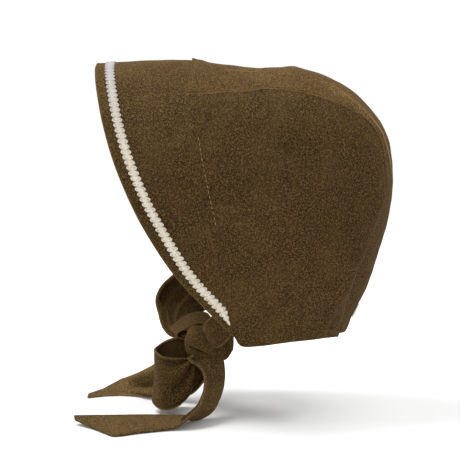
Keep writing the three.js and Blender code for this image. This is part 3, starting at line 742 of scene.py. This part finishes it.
def crown_centre(name):
    side_shared = np.where((S_LINES < 0)[None, :, None], mirrored(PANEL_SHARED)[:, None],
                           PANEL_SHARED[:, None])
    front_shared = FRONT_SHARED[len(Q_LINES):len(Q_LINES) + len(S_LINES)][None]
    n = blended(CENTRE_NORMAL, CENTRE_FRONT, front_shared, CENTRE_PANEL, side_shared)
    hem = CENTRE_FRONT[-1:] - CENTRE_FRONT
    away = smooth((CENTRE_PANEL - 2) / 12) * smooth((CENTRE_FRONT - 8) / 15)
    soft = 0.5 * ripple(CENTRE, 45.0, 21) + 0.14 * ripple(CENTRE, 12.0, 22)
    pucker = bell(CENTRE_PANEL - 2.5, 4.0) * 0.2 * ripple(CENTRE, 9.0, 23)
    seam = ridge(CENTRE_PANEL, 0.1) * smooth(CENTRE_FRONT / 3)
    top = (1 - smooth(np.abs(S_LINES) / 0.8))[None]
    behind = level(TOP_STEP, CENTRE_FRONT) * top + welt(CENTRE_FRONT, WELT_RISE) * (1 - top)
    seam = seam + behind * smooth(CENTRE_PANEL / 2)
    # The panel dips and peaks a little along the top, and a pressed fold runs over the back
    dent = bell(S_LINES, 0.8)[None] * sum(height * bell(CENTRE[..., 1] - y, half_length)
                                          for y, half_length, height in TOP_DENTS)
    half_panel = CENTRE_MIDDLE[:, -1:]
    front_gap = CENTRE_MIDDLE - half_panel * level(FRONT_FOLD, T_LINES)[:, None]
    back_gap = CENTRE_MIDDLE - half_panel * level(BACK_FOLD, T_LINES)[:, None]
    near_front = between(T_LINES, 0.10, 0.05, 0.215, 0.02)
    near_back = between(T_LINES, 0.33, 0.07, 0.56, 0.10)
    wide_back = between(T_LINES, 0.32, 0.07, 0.43, 0.06)
    dent = dent + 0.3 * near_front[:, None] * bell(front_gap, 1.1)
    dent = dent + near_back[:, None] * (0.55 * bell(back_gap, 2.6) - 0.2 * bell(back_gap - 4.5, 2.0))
    # Painted highlight lines along the front fold and along the ridge of the back fold
    line_back = between(T_LINES, 0.44, 0.04, 0.55, 0.09)
    near_line = line_back[:, None] * (0.4 + 0.6 * smooth(S_LINES * 3))[None]
    highlight_lines = 0.8 * near_front[:, None] * bell(front_gap, 0.9)
    highlight_lines = highlight_lines + 2.0 * near_line * bell(back_gap, 1.1)
    # Painted light: paler over the top of the panel, and a broad painted highlight band over the back
    # beside the fold
    tone = 0.45 * (1 - smooth((T_LINES - 0.44) / 0.10))[:, None]
    tone = tone + 2.6 * wide_back[:, None] * bell(back_gap, 6.0)
    nape = 0.7 * bell(hem - 7, 5.0) * np.cos(S_LINES * 4.2)[None] - 0.3 * bell(hem - 14, 2.0)
    rise = (away * (soft + nape) + pucker + seam + dent) * smooth(hem / 1.5)
    outer, inner = wall_grids(CENTRE, n, rise, CROWN_WALL, hem)
    # Painted highlight along the folds and on the seam along the crest, painted shade along the seam
    # below the crest and in the topstitch line, and highlights at the brim seam and hem edge
    lift = (highlight_lines + bell(CENTRE_PANEL, 0.6) * (0.35 * CREST - 0.9 * (1 - CREST))
            + 0.06 * bell(CENTRE_FRONT, 0.9) - 0.12 * bell(CENTRE_FRONT - WELT_WIDTH, 0.5)
            + 0.45 * bell(hem, 1.2))
    piece = wall_piece(name + "_cloth", outer, inner, WOOL, lift, tone)
    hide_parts(name)
    return outer, n


def brim(name):
    to_seam = lengths(BRIM, 0)
    to_edge = to_seam[-1:] - to_seam
    across = lengths(BRIM, 1)
    ends = np.minimum(across, across[:, -1:] - across)
    n = blended(BRIM_NORMAL, to_seam, FRONT_SHARED[None])
    free = np.minimum(to_edge, ends)
    inside = smooth((to_edge - 3) / 15) * smooth((to_seam - 3) / 15)
    rise = inside * (0.45 * ripple(BRIM, 60.0, 31) + 0.12 * ripple(BRIM, 14.0, 32))
    rise = rise + BRIM_SWELL * np.sin(np.pi * R_LINES ** 0.55)[:, None]
    rise = rise - 0.12 * bell(to_seam, 0.6) + 0.18 * bell(to_edge - 1.6, 1.4)
    rise = rise * smooth(free / 1.2)
    wall = CROWN_WALL + (BRIM_WALL - CROWN_WALL) * smooth(to_seam / 6)
    outer, inner = wall_grids(BRIM, n, rise, wall, free)
    drop = np.concatenate([Q_LINES[::-1], 0 * S_LINES, Q_LINES])[None]
    # Painted highlight along the brim seam, strongest part way down each side, and along the outer edge
    faint = 0.2 + 0.55 * between(drop, 0.46, 0.06, 0.66, 0.10)
    seam_highlight = faint * bell(to_seam - 0.3, 1.1) * (0.7 + 0.5 * ripple(BRIM, 9.0, 33))
    lift = 0.55 * bell(to_edge, 1.0) + seam_highlight
    piece = wall_piece(name + "_cloth", outer, inner, WOOL, lift)
    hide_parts(name)
    return outer, n


left_stitch = line_behind(*crown_side("crown_side_left", 1), SIDE_FRONT)
right_stitch = line_behind(*crown_side("crown_side_right", -1), SIDE_FRONT)
centre_stitch = line_behind(*crown_centre("crown_center_panel"), CENTRE_FRONT)
brim_outer, brim_normal = brim("brim")


def both_sides(part):
    return [(line[part], up[part]) for line, up in (left_stitch, right_stitch)]


# Topstitch along the welt behind the brim seam, tan down each side and sunk in the wool elsewhere
shows_from, shows_to = TOPSTITCH_SHOWS
tan_lines = both_sides((Q_LINES > shows_from) & (Q_LINES < shows_to))
sunk_lines = both_sides(Q_LINES < shows_from) + both_sides(Q_LINES > shows_to) + [centre_stitch]
topstitch = thread_stitches("welt_topstitch", tan_lines, TAN_THREAD)
sunk = thread_stitches("welt_topstitch_sunk", sunk_lines, BROWN_THREAD, radius=SUNK_STITCH_RADIUS)


# Scalloped braid
def on_brim(columns, reach):
    """Points and normals on the brim's outer face, one for each of its columns."""
    base, up = (np.array([along(R_LINES, grid[:, c], r) for c, r in zip(columns, reach)])
                for grid in (brim_outer, brim_normal))
    return base, unit(up)


def lace():
    """The braid: a row of petals on both sides of a plaited middle, with small holes between."""
    length = np.linalg.norm(BRIM_EDGE - FRONT, axis=-1)
    ruling = unit(BRIM_EDGE - FRONT)
    tangent = unit(np.gradient(BRIM_EDGE, axis=0))
    lean = np.linalg.norm(np.cross(ruling, tangent), axis=-1)
    low = smooth((front_half - LACE_EASE[0]) / (LACE_EASE[1] - LACE_EASE[0]))
    edge_side = 1 - (LACE_INSET + (LACE_INSET_LOW - LACE_INSET) * low) / lean / length
    seam_side = np.maximum(edge_side - LACE_WIDTH / lean / length, 0.7 / length)
    keep = np.flatnonzero((edge_side - seam_side) * length > 0.4)
    keep = np.arange(keep[0], keep[-1] + 1)
    middle = (edge_side[keep] + seam_side[keep]) / 2
    reach = (edge_side[keep] - seam_side[keep]) / 2
    run = lengths(on_brim(keep, middle)[0], 0)
    u = np.arange(0, run[-1], LACE_PITCH / LACE_STEPS)
    tracks = [on_brim(keep, middle - reach * v) for v in np.linspace(-1, 1, LACE_TRACKS)]
    bases, ups = (np.stack([along(run, track[i], u) for track in tracks], 1) for i in (0, 1))
    width = np.interp(u, run, (edge_side[keep] - seam_side[keep]) * length[keep] * lean[keep])
    full = np.clip(width / LACE_WIDTH, 0, 1)
    phase = u / LACE_PITCH
    petal = (1 - np.abs(2 * (phase % 1.0) - 1)) ** 0.65
    lines = np.concatenate([[-1.0, -0.985, -0.95], np.linspace(-0.88, 0.88, 19), [0.95, 0.985, 1.0]])
    v = lines[None, :] * (LACE_WAIST + (1 - LACE_WAIST) * petal)[:, None]
    spots = (v + 1) / 2 * (LACE_TRACKS - 1)
    k = np.clip(spots.astype(int), 0, LACE_TRACKS - 2)
    f = (spots - k)[..., None]
    rows = np.arange(len(u))[:, None]
    base = bases[rows, k] * (1 - f) + bases[rows, k + 1] * f
    up = unit(ups[rows, k] * (1 - f) + ups[rows, k + 1] * f)
    u_grid = u[:, None] + 0 * v
    across = v * LACE_WIDTH / 2
    off = np.abs(across)
    share = (u_grid / LACE_PITCH) % 1.0
    from_petal = (share - 0.5) * LACE_PITCH
    from_notch = (share - np.round(share)) * LACE_PITCH
    hole = np.zeros_like(v)
    for side in (-1, 1):
        hole += bell(np.hypot(from_petal * 1.1, across - side * PETAL_HOLE[0]), PETAL_HOLE[1])
        hole += 0.8 * bell(np.hypot(from_notch, across - side * NOTCH_HOLE[0]), NOTCH_HOLE[1])
    rib = np.cos(2 * np.pi * (u_grid / 0.7 + 0.55 * off)) * 0.12 * smooth((off - 1.4) / 0.5)
    plait = 0
    for side in (1, -1):
        strand = 0.2 * np.abs(np.sin(np.pi * (u_grid / 2.1 + side * across / 1.7)))
        plait = plait + strand * (1 - smooth((off - 1.0) / 0.5))
    dome = 0.22 * bell(off - 2.6, 0.9)
    rim = rounded((1 - np.abs(lines))[None, :] * 4.0, LACE_WALL)
    height = (LACE_WALL * 0.5 + rib + plait + dome - 0.35 * np.clip(hole, 0, 1)) * rim
    height = np.maximum(height, 0.12 * rim)
    height = height * full[:, None] ** 0.5
    start = base + up * LACE_LIFT
    outer = start + up * height[..., None]
    inner = start - up * 0.05
    chance = np.random.default_rng(61).uniform(0, 1, (int(phase[-1]) + 2, 2)) ** 2
    near, far = (chance[phase.astype(int), i][:, None] for i in (0, 1))
    dark = np.where(across < 0, near, far)
    # Painted shade at the braid's edges in the notches between petals
    notch_shade = (1 - petal)[:, None] ** 1.5 * smooth((np.abs(lines) - 0.45) / 0.4)
    # Painted shade: the braid is greyed over the top of the brim, less so down the sides
    top_shade = 1 - smooth((np.interp(u, run, front_half[keep]) - 0.05) / 0.42)
    lift = -np.clip(hole * 1.1, 0, 1) * (0.3 + 0.7 * dark)
    lift = lift - (0.85 - 0.35 * top_shade)[:, None] * notch_shade
    piece = wall_piece("lace_braid", outer, inner, BRAID, lift, top_shade[:, None] + 0 * lift)
    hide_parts("lace_trim")


lace()


# Ties and bow
CORNER = rows_at(RIBS, np.array(1 / (len(RIBS) - 1)))
CORNER_Y = -SEAM_FORWARD + CORNER[5] * CROWN_DEPTH
CORNER_Z = SEAM_RISE - CORNER[6] * CROWN_HEIGHT


def tie_places(table):
    """The two edge points of each row of a tie's table."""
    t = np.asarray(table, float)
    place = [np.stack([t[:, k + 2] * HALF_WIDTH, CORNER_Y - t[:, k] * TIE_REACH,
                       CORNER_Z - t[:, k + 1] * TIE_DROP], -1) for k in (0, 3)]
    return np.concatenate(place, -1)


def tie_seat(drop, sign):
    """Where an edge of a strap is sewn, on the inner face of the side panel."""
    local = side_point(*np.meshgrid([TIE_SEAT_BACK - 0.001, TIE_SEAT_BACK, TIE_SEAT_BACK + 0.001],
                                    [drop - 0.001, drop, drop + 0.001], indexing="ij"))
    depth = max(CROWN_WALL, BRIM_WALL) + CLEARANCE + TIE_WALL / 2
    point = local[1, 1] - normals(local)[1, 1] * depth
    return point * [sign, 1, 1]


# Lines across a tie, closer at its edges and hems: one layer, then a layer folded back on itself
EDGE_LINES = np.array([0, 0.0012, 0.004, 0.009, 0.016, 0.025, 0.036, 0.048, 0.056, 0.062, 0.068,
                       0.074, 0.084])
V_LINES = np.concatenate([EDGE_LINES, np.linspace(0.105, 0.895, 33), 1 - EDGE_LINES[::-1]])
LAYER_LINES = np.concatenate([[0, 0.0015, 0.005, 0.011], np.linspace(0.018, 0.13, 16),
                              np.linspace(0.15, 0.45, 14)])
FOLD_LINES = np.concatenate([LAYER_LINES, np.linspace(0.464, 0.536, 9), 1 - LAYER_LINES[::-1]])
FOLD_RADIUS = 1.15
FOLD_WALL = 0.78
HEM_LINES = 20


def tie_piece(name, table, seat=0, steps=170, waves=2.5, sharp=None, deepest=2.6,
              seed=0, end_free=False, turned=0, soft=0.7, cloth=TIE_WOOL, fade=(3.8, 2.0),
              edge_light=(0.6, 0.6), highlight_lines=(), pale=0.0, lit=None, lit_edge_row=None):
    """A tie's cloth swept through its rows. Where it is drawn narrower than it was cut, it either
    ripples in waves or, with turned as 1 or -1, its far edge is folded back under or over it.
    seat is the side it is sewn to, sharp the row after which its bends are straight and fade how
    the waves end before it. edge_light is the painted highlight on its two edges, the folds listed as
    shares of its width get lines of painted highlight, pale makes all of it paler as painted light,
    lit is a row where it catches light, and the last argument is a row near which its second edge gets
    a strong painted highlight. Returns its hem stitch lines."""
    rows = tie_places(table)
    if seat:
        first = np.concatenate([tie_seat(TIE_SEAT_LOW, seat), tie_seat(TIE_SEAT_HIGH, seat)])
        rows = np.vstack([first, rows])
    t = np.linspace(0, 1, steps + 1)
    r = rows_at(rows, t)
    place = t * (len(rows) - 1)
    if sharp is not None:
        straight = np.stack([np.interp(place, np.arange(len(rows)), rows[:, k]) for k in range(6)], -1)
        r = np.where((place > sharp)[:, None], straight, r)
    a, b = r[:, None, :3], r[:, None, 3:]
    width = np.linalg.norm(b - a, axis=-1)
    lines = (FOLD_LINES if turned else V_LINES)[None]
    if turned:
        radius = np.minimum(FOLD_RADIUS, width / 6)
        first_layer = width + radius * (math.pi / 2 - 1)
        second_layer = np.clip(TIE_WIDTH - width, 3.0, width * 0.98)
        x = (2 * lines - 1) * np.where(lines < 0.5, first_layer, second_layer)
        angle = np.clip(x / radius, -math.pi / 2, math.pi / 2)
        beyond = np.maximum(np.abs(x) - radius * math.pi / 2, 0)
        share = 1 - (radius * (1 - np.cos(angle)) + beyond) / width
        offset = turned * radius * np.sin(angle)
        side = np.where(lines < 0.5, 2 * lines * first_layer, 2 * (1 - lines) * second_layer)
        hem = side
    else:
        share = lines + 0 * width
        drawn = np.clip(TIE_WIDTH / np.maximum(width, 4.0) - 1, 0, 6)
        if sharp is not None:
            drawn = drawn * (1 - smooth((place - sharp + fade[0]) / fade[1]))[:, None]
        depth = np.minimum(width / (math.pi * waves) * np.sqrt(drawn), deepest)
        window = smooth(lines / 0.09) * smooth((1 - lines) / 0.09)
        wander = 0.35 * np.sin(2 * math.pi * t * 1.7 + seed)[:, None]
        fold = np.sin(2 * math.pi * waves * lines + seed + wander) * window
        offset = depth * fold
        side = np.minimum(lines, 1 - lines) * np.maximum(width, 0.4 * TIE_WIDTH)
        hem = np.minimum(lines, 1 - lines) * TIE_WIDTH + 0 * width
    base = a + (b - a) * share[..., None]
    tangent = (np.gradient(a, axis=0) * (1 - share[..., None])
               + np.gradient(b, axis=0) * share[..., None])
    n = unit(np.cross(tangent, b - a + 0 * base))
    give = np.clip(width / TIE_WIDTH, 0.2, 1)
    if turned:
        sway = 0.5 * np.sin(2 * math.pi * (1.1 * share + 0.6 * t[:, None]) + seed)
        offset = offset + soft * give * (0.8 * ripple(base, 30.0, seed + 60) + sway)
    mid = base + n * offset[..., None]
    n = normals(mid, False)
    run = lengths(mid, 0)
    tail = run[-1:] - run
    edge = np.minimum(side, tail) if end_free else side
    groove = 0.3 * bell(hem - TIE_HEM, 0.45) * smooth(width / 8)
    puff = 0.14 * bell(hem - 1.1, 0.8) + 0.08 * ripple(mid, 6.0, seed + 40)
    half = TIE_WALL / 2 * rounded(edge, TIE_WALL) * (0.62 + 0.38 * smooth(width / 24))
    if turned:
        half, puff, groove = half * FOLD_WALL, puff * 0.6, groove * 0.7
    thick = np.maximum(half + (puff - groove) * smooth(edge / 0.8), 0.0)
    outer = mid + n * thick[..., None]
    inner = mid - n * thick[..., None]
    # Painted highlight on both edges, beside the hem's edge, along the listed folds, near the lit row
    # and over a turned fold's bend; painted shade in the topstitch groove and in the waves' troughs
    lift = np.where(lines < 0.5, *edge_light) * bell(edge, 0.9)
    lift = lift - 0.7 * bell(hem - TIE_HEM, 0.55) + 0.3 * bell(hem - 1.2, 0.6)
    for at in highlight_lines:
        lift = lift + 1.0 * bell((share - at) * width, 0.8) * smooth(width / 16)
    if lit is not None:
        lift = lift + 0.8 * bell(place - lit, 1.2)[:, None]
    if turned:
        lift = lift + 0.35 * bell(x, 1.2)
    else:
        lift = lift - 0.35 * np.clip(-fold, 0, 1) * smooth(depth / 2.0)
    # Painted light: tone makes the whole piece paler
    tone = np.full(lift.shape, pale)
    if lit_edge_row is not None:
        # Painted highlight: a pale line along the second edge near this row
        near_row = bell(place - lit_edge_row, 1.1)[:, None]
        tone = tone + 14.0 * (lines > 0.5) * bell(edge, 1.3) * near_row
    piece = wall_piece(name + "_cloth", outer, inner, cloth, lift, tone, 70.0, both=True)
    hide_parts(name)
    wide = np.flatnonzero(width[:, 0] > 12)
    near_hem = [np.interp(TIE_HEM, hem[i, :HEM_LINES], lines[0, :HEM_LINES]) for i in wide]
    hem_back, lines_back = hem[:, ::-1], 1 - lines[0, ::-1]
    far_hem = [1 - np.interp(TIE_HEM, hem_back[i, :HEM_LINES], lines_back[:HEM_LINES]) for i in wide]
    stitch_lines = []
    for shares in [near_hem] if turned else [near_hem, far_hem]:
        for face in ((outer, n), (inner, -n)):
            stitch_lines.append([np.array([along(lines[0], grid[i], v) for i, v in zip(wide, shares)])
                                 for grid in face])
    return stitch_lines


def knot():
    """The knot: a lump of wrapped cloth with a deep crease where the tail comes out."""
    bm = bmesh.new()
    bmesh.ops.create_icosphere(bm, subdivisions=6, radius=1.0)
    p = np.array([v.co[:] for v in bm.verts])
    faces = np.array([[v.index for v in f.verts] for f in bm.faces])
    bm.free()
    lobe = 1 + KNOT_LOBE * np.cos(3 * np.arctan2(p[:, 2], p[:, 0])) * (1 - p[:, 1] ** 2)
    full = (np.abs(p) ** KNOT_SQUARENESS).sum(1) ** (-1 / KNOT_SQUARENESS)
    body = p * (lobe * (0.35 + 0.65 * full))[:, None] * np.array(KNOT_HALF)
    near = smooth((p[:, 0] + 0.1) / 0.5)
    wrap = 0.75 * body[:, 2] + 0.66 * body[:, 1]
    folds = 0.55 * np.sin(wrap / 2.1 + 0.4) * (1 - 0.5 * near)
    crease_line = body[:, 2] + 3.6 + 0.42 * (body[:, 1] + 1.5)
    crease = bell(crease_line, 0.9) * near * bell(body[:, 1] + 2.5, 7.0)
    above = smooth((crease_line + 0.4) / 1.6) * near * bell(crease_line - 4.0, 6.0)
    rise = folds * 0.7 + 1.0 * above - 2.6 * crease + 0.18 * ripple(body, 6.0, 51)
    place = tie_places([KNOT_PLACE * 2])[0, :3]
    points = place + body + unit(body / np.array(KNOT_HALF) ** 2) * rise[:, None]
    # Painted shade in the crease and painted highlight on the crests of the wraps and just above the
    # crease
    lift = -1.0 * crease + 0.3 * np.clip(folds, -1, 1) + 0.3 * bell(crease_line - 1.6, 1.0) * near
    piece = make_mesh("bow_knot_cloth", points, faces, TIE_WOOL, lift, 80.0)
    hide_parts("bow_knot")


knot()
tie_lines = tie_piece("tie_strap_left", STRAP_LEFT, seat=1, seed=1, turned=1, soft=0.6)
tie_lines += tie_piece("tie_strap_right", STRAP_RIGHT, seat=-1, seed=2, turned=-1, soft=1.1,
                       highlight_lines=(0.5, 0.75))
tie_lines += tie_piece("bow_loop_front", LOOP_FRONT, seed=3, waves=2.0, steps=200,
                       edge_light=(0.5, 1.9), lit=8.6, lit_edge_row=2.6)
tie_lines += tie_piece("bow_loop_back", LOOP_BACK, seed=4, turned=1, soft=0.6, steps=110)
tie_lines += tie_piece("tie_tail_long", TAIL_LONG, seed=5, waves=0.5, deepest=3.4,
                       sharp=11.0, steps=220, end_free=True, cloth=TAIL_WOOL_LIT, fade=(5.0, 2.0),
                       edge_light=(0.0, 0.3))
tie_lines += tie_piece("tie_tail_short", TAIL_SHORT, seed=6, waves=1.5, deepest=3.9, sharp=6.0,
                       end_free=True, cloth=TAIL_WOOL_LIT, fade=(2.0, 1.5), pale=0.7)
tie_stitch = thread_stitches("tie_topstitch", tie_lines, BROWN_THREAD, pitch=2.9, length=1.9,
                             radius=0.13, sides=5, rings=4)


def label():
    """A blank woven label sewn to the centre panel, its lower edge standing a little proud."""
    half_span = LABEL_SIZE[0] / 2 / (rows_at(RIBS, np.array(LABEL_PLACE))[4] * HALF_WIDTH)
    near = centre_point(np.array([LABEL_PLACE - 0.01, LABEL_PLACE + 0.01]), np.zeros(2))
    per_share = np.linalg.norm(near[1] - near[0]) / 0.02
    t = LABEL_PLACE + np.linspace(-0.5, 0.5, 25) * LABEL_SIZE[1] / per_share
    s = np.linspace(-half_span, half_span, 41)
    grid = centre_point(*np.meshgrid(t, s, indexing="ij"))
    n = normals(grid)
    down = np.linspace(0, 1, 25)[:, None]
    across = np.linspace(-1, 1, 41)[None]
    edge = np.minimum(np.minimum(down, 1 - down) * LABEL_SIZE[1],
                      (1 - np.abs(across)) * LABEL_SIZE[0] / 2)
    lift_off = 0.35 + 0.5 * bell(down - 0.55, 0.3) * (1 - np.abs(across) ** 3)
    share = rounded(edge, LABEL_WALL * 1.4)
    wave = 0.12 * np.sin(across * 7 + down * 4)
    outer = grid + n * (lift_off + wave + LABEL_WALL * (0.3 + 0.7 * share))[..., None]
    inner = grid + n * (lift_off + wave)[..., None]
    piece = wall_piece("back_label_tape", outer, inner, TAPE)
    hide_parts("back_label")


label()


# Stage, light and camera
FLOOR_Z = -269.9
FLOOR_RADIUS = 1100.0
CAMERA_PLACE = (1348.05, -25.28, 52.76)
CAMERA_TARGET = (0.0, -25.28, -127.11)
FRAME_PIXELS = 460
FOCAL_PIXELS = 1700
SENSOR = 36.0
FLOOR_COLOURS = (linear(225, 225, 225), linear(230, 230, 230))
WORLD_STRENGTH = 1.02
# Name, place, target, size in metres and power of each lamp
LAMPS = [("key", (-150, -800, 1250), (0, -60, -200), 0.9, 25.0),
         ("top", (-350, 450, 1250), (0, 0, -100), 0.9, 9.0)]


def aim(obj, place, target):
    obj.location = Vector(place) * MM
    obj.rotation_euler = (Vector(target) - Vector(place)).to_track_quat("-Z", "Y").to_euler()


def camera():
    data = bpy.data.cameras.new("camera")
    data.sensor_width = SENSOR
    data.lens = SENSOR * FOCAL_PIXELS / FRAME_PIXELS
    data.clip_end = 100
    obj = placed("camera", data)
    aim(obj, CAMERA_PLACE, CAMERA_TARGET)
    bpy.context.scene.camera = obj


def area_light(name, place, target, size, power):
    data = bpy.data.lights.new(name, "AREA")
    data.shape = "DISK"
    data.size = size
    data.energy = power
    aim(placed(name, data), place, target)


def floor():
    angle = np.linspace(0, 2 * np.pi, 64, endpoint=False)
    ring = np.stack([np.cos(angle) * FLOOR_RADIUS, np.sin(angle) * FLOOR_RADIUS,
                     0 * angle + FLOOR_Z], -1)
    mesh = bpy.data.meshes.new("floor")
    mesh.from_pydata((ring * MM).tolist(), [], [list(range(64))])
    m = Nodes("floor", 0.6, 0.0)
    tone = m.noise(3, 2.0, 0.5)
    m.link(m.mix(m.span(tone, 0.3, 0.7), *FLOOR_COLOURS), m.shader.inputs["Base Color"])
    mesh.materials.append(m.material)
    placed("floor", mesh)


def world():
    scene = bpy.context.scene
    scene.world = scene.world or bpy.data.worlds.new("world")
    scene.world.use_nodes = True
    background = scene.world.node_tree.nodes["Background"]
    background.inputs["Color"].default_value = (1.0, 1.0, 1.0, 1.0)
    background.inputs["Strength"].default_value = WORLD_STRENGTH


camera()
floor()
world()
for lamp in LAMPS:
    area_light(*lamp)
bpy.context.scene.view_settings.view_transform = "Standard"
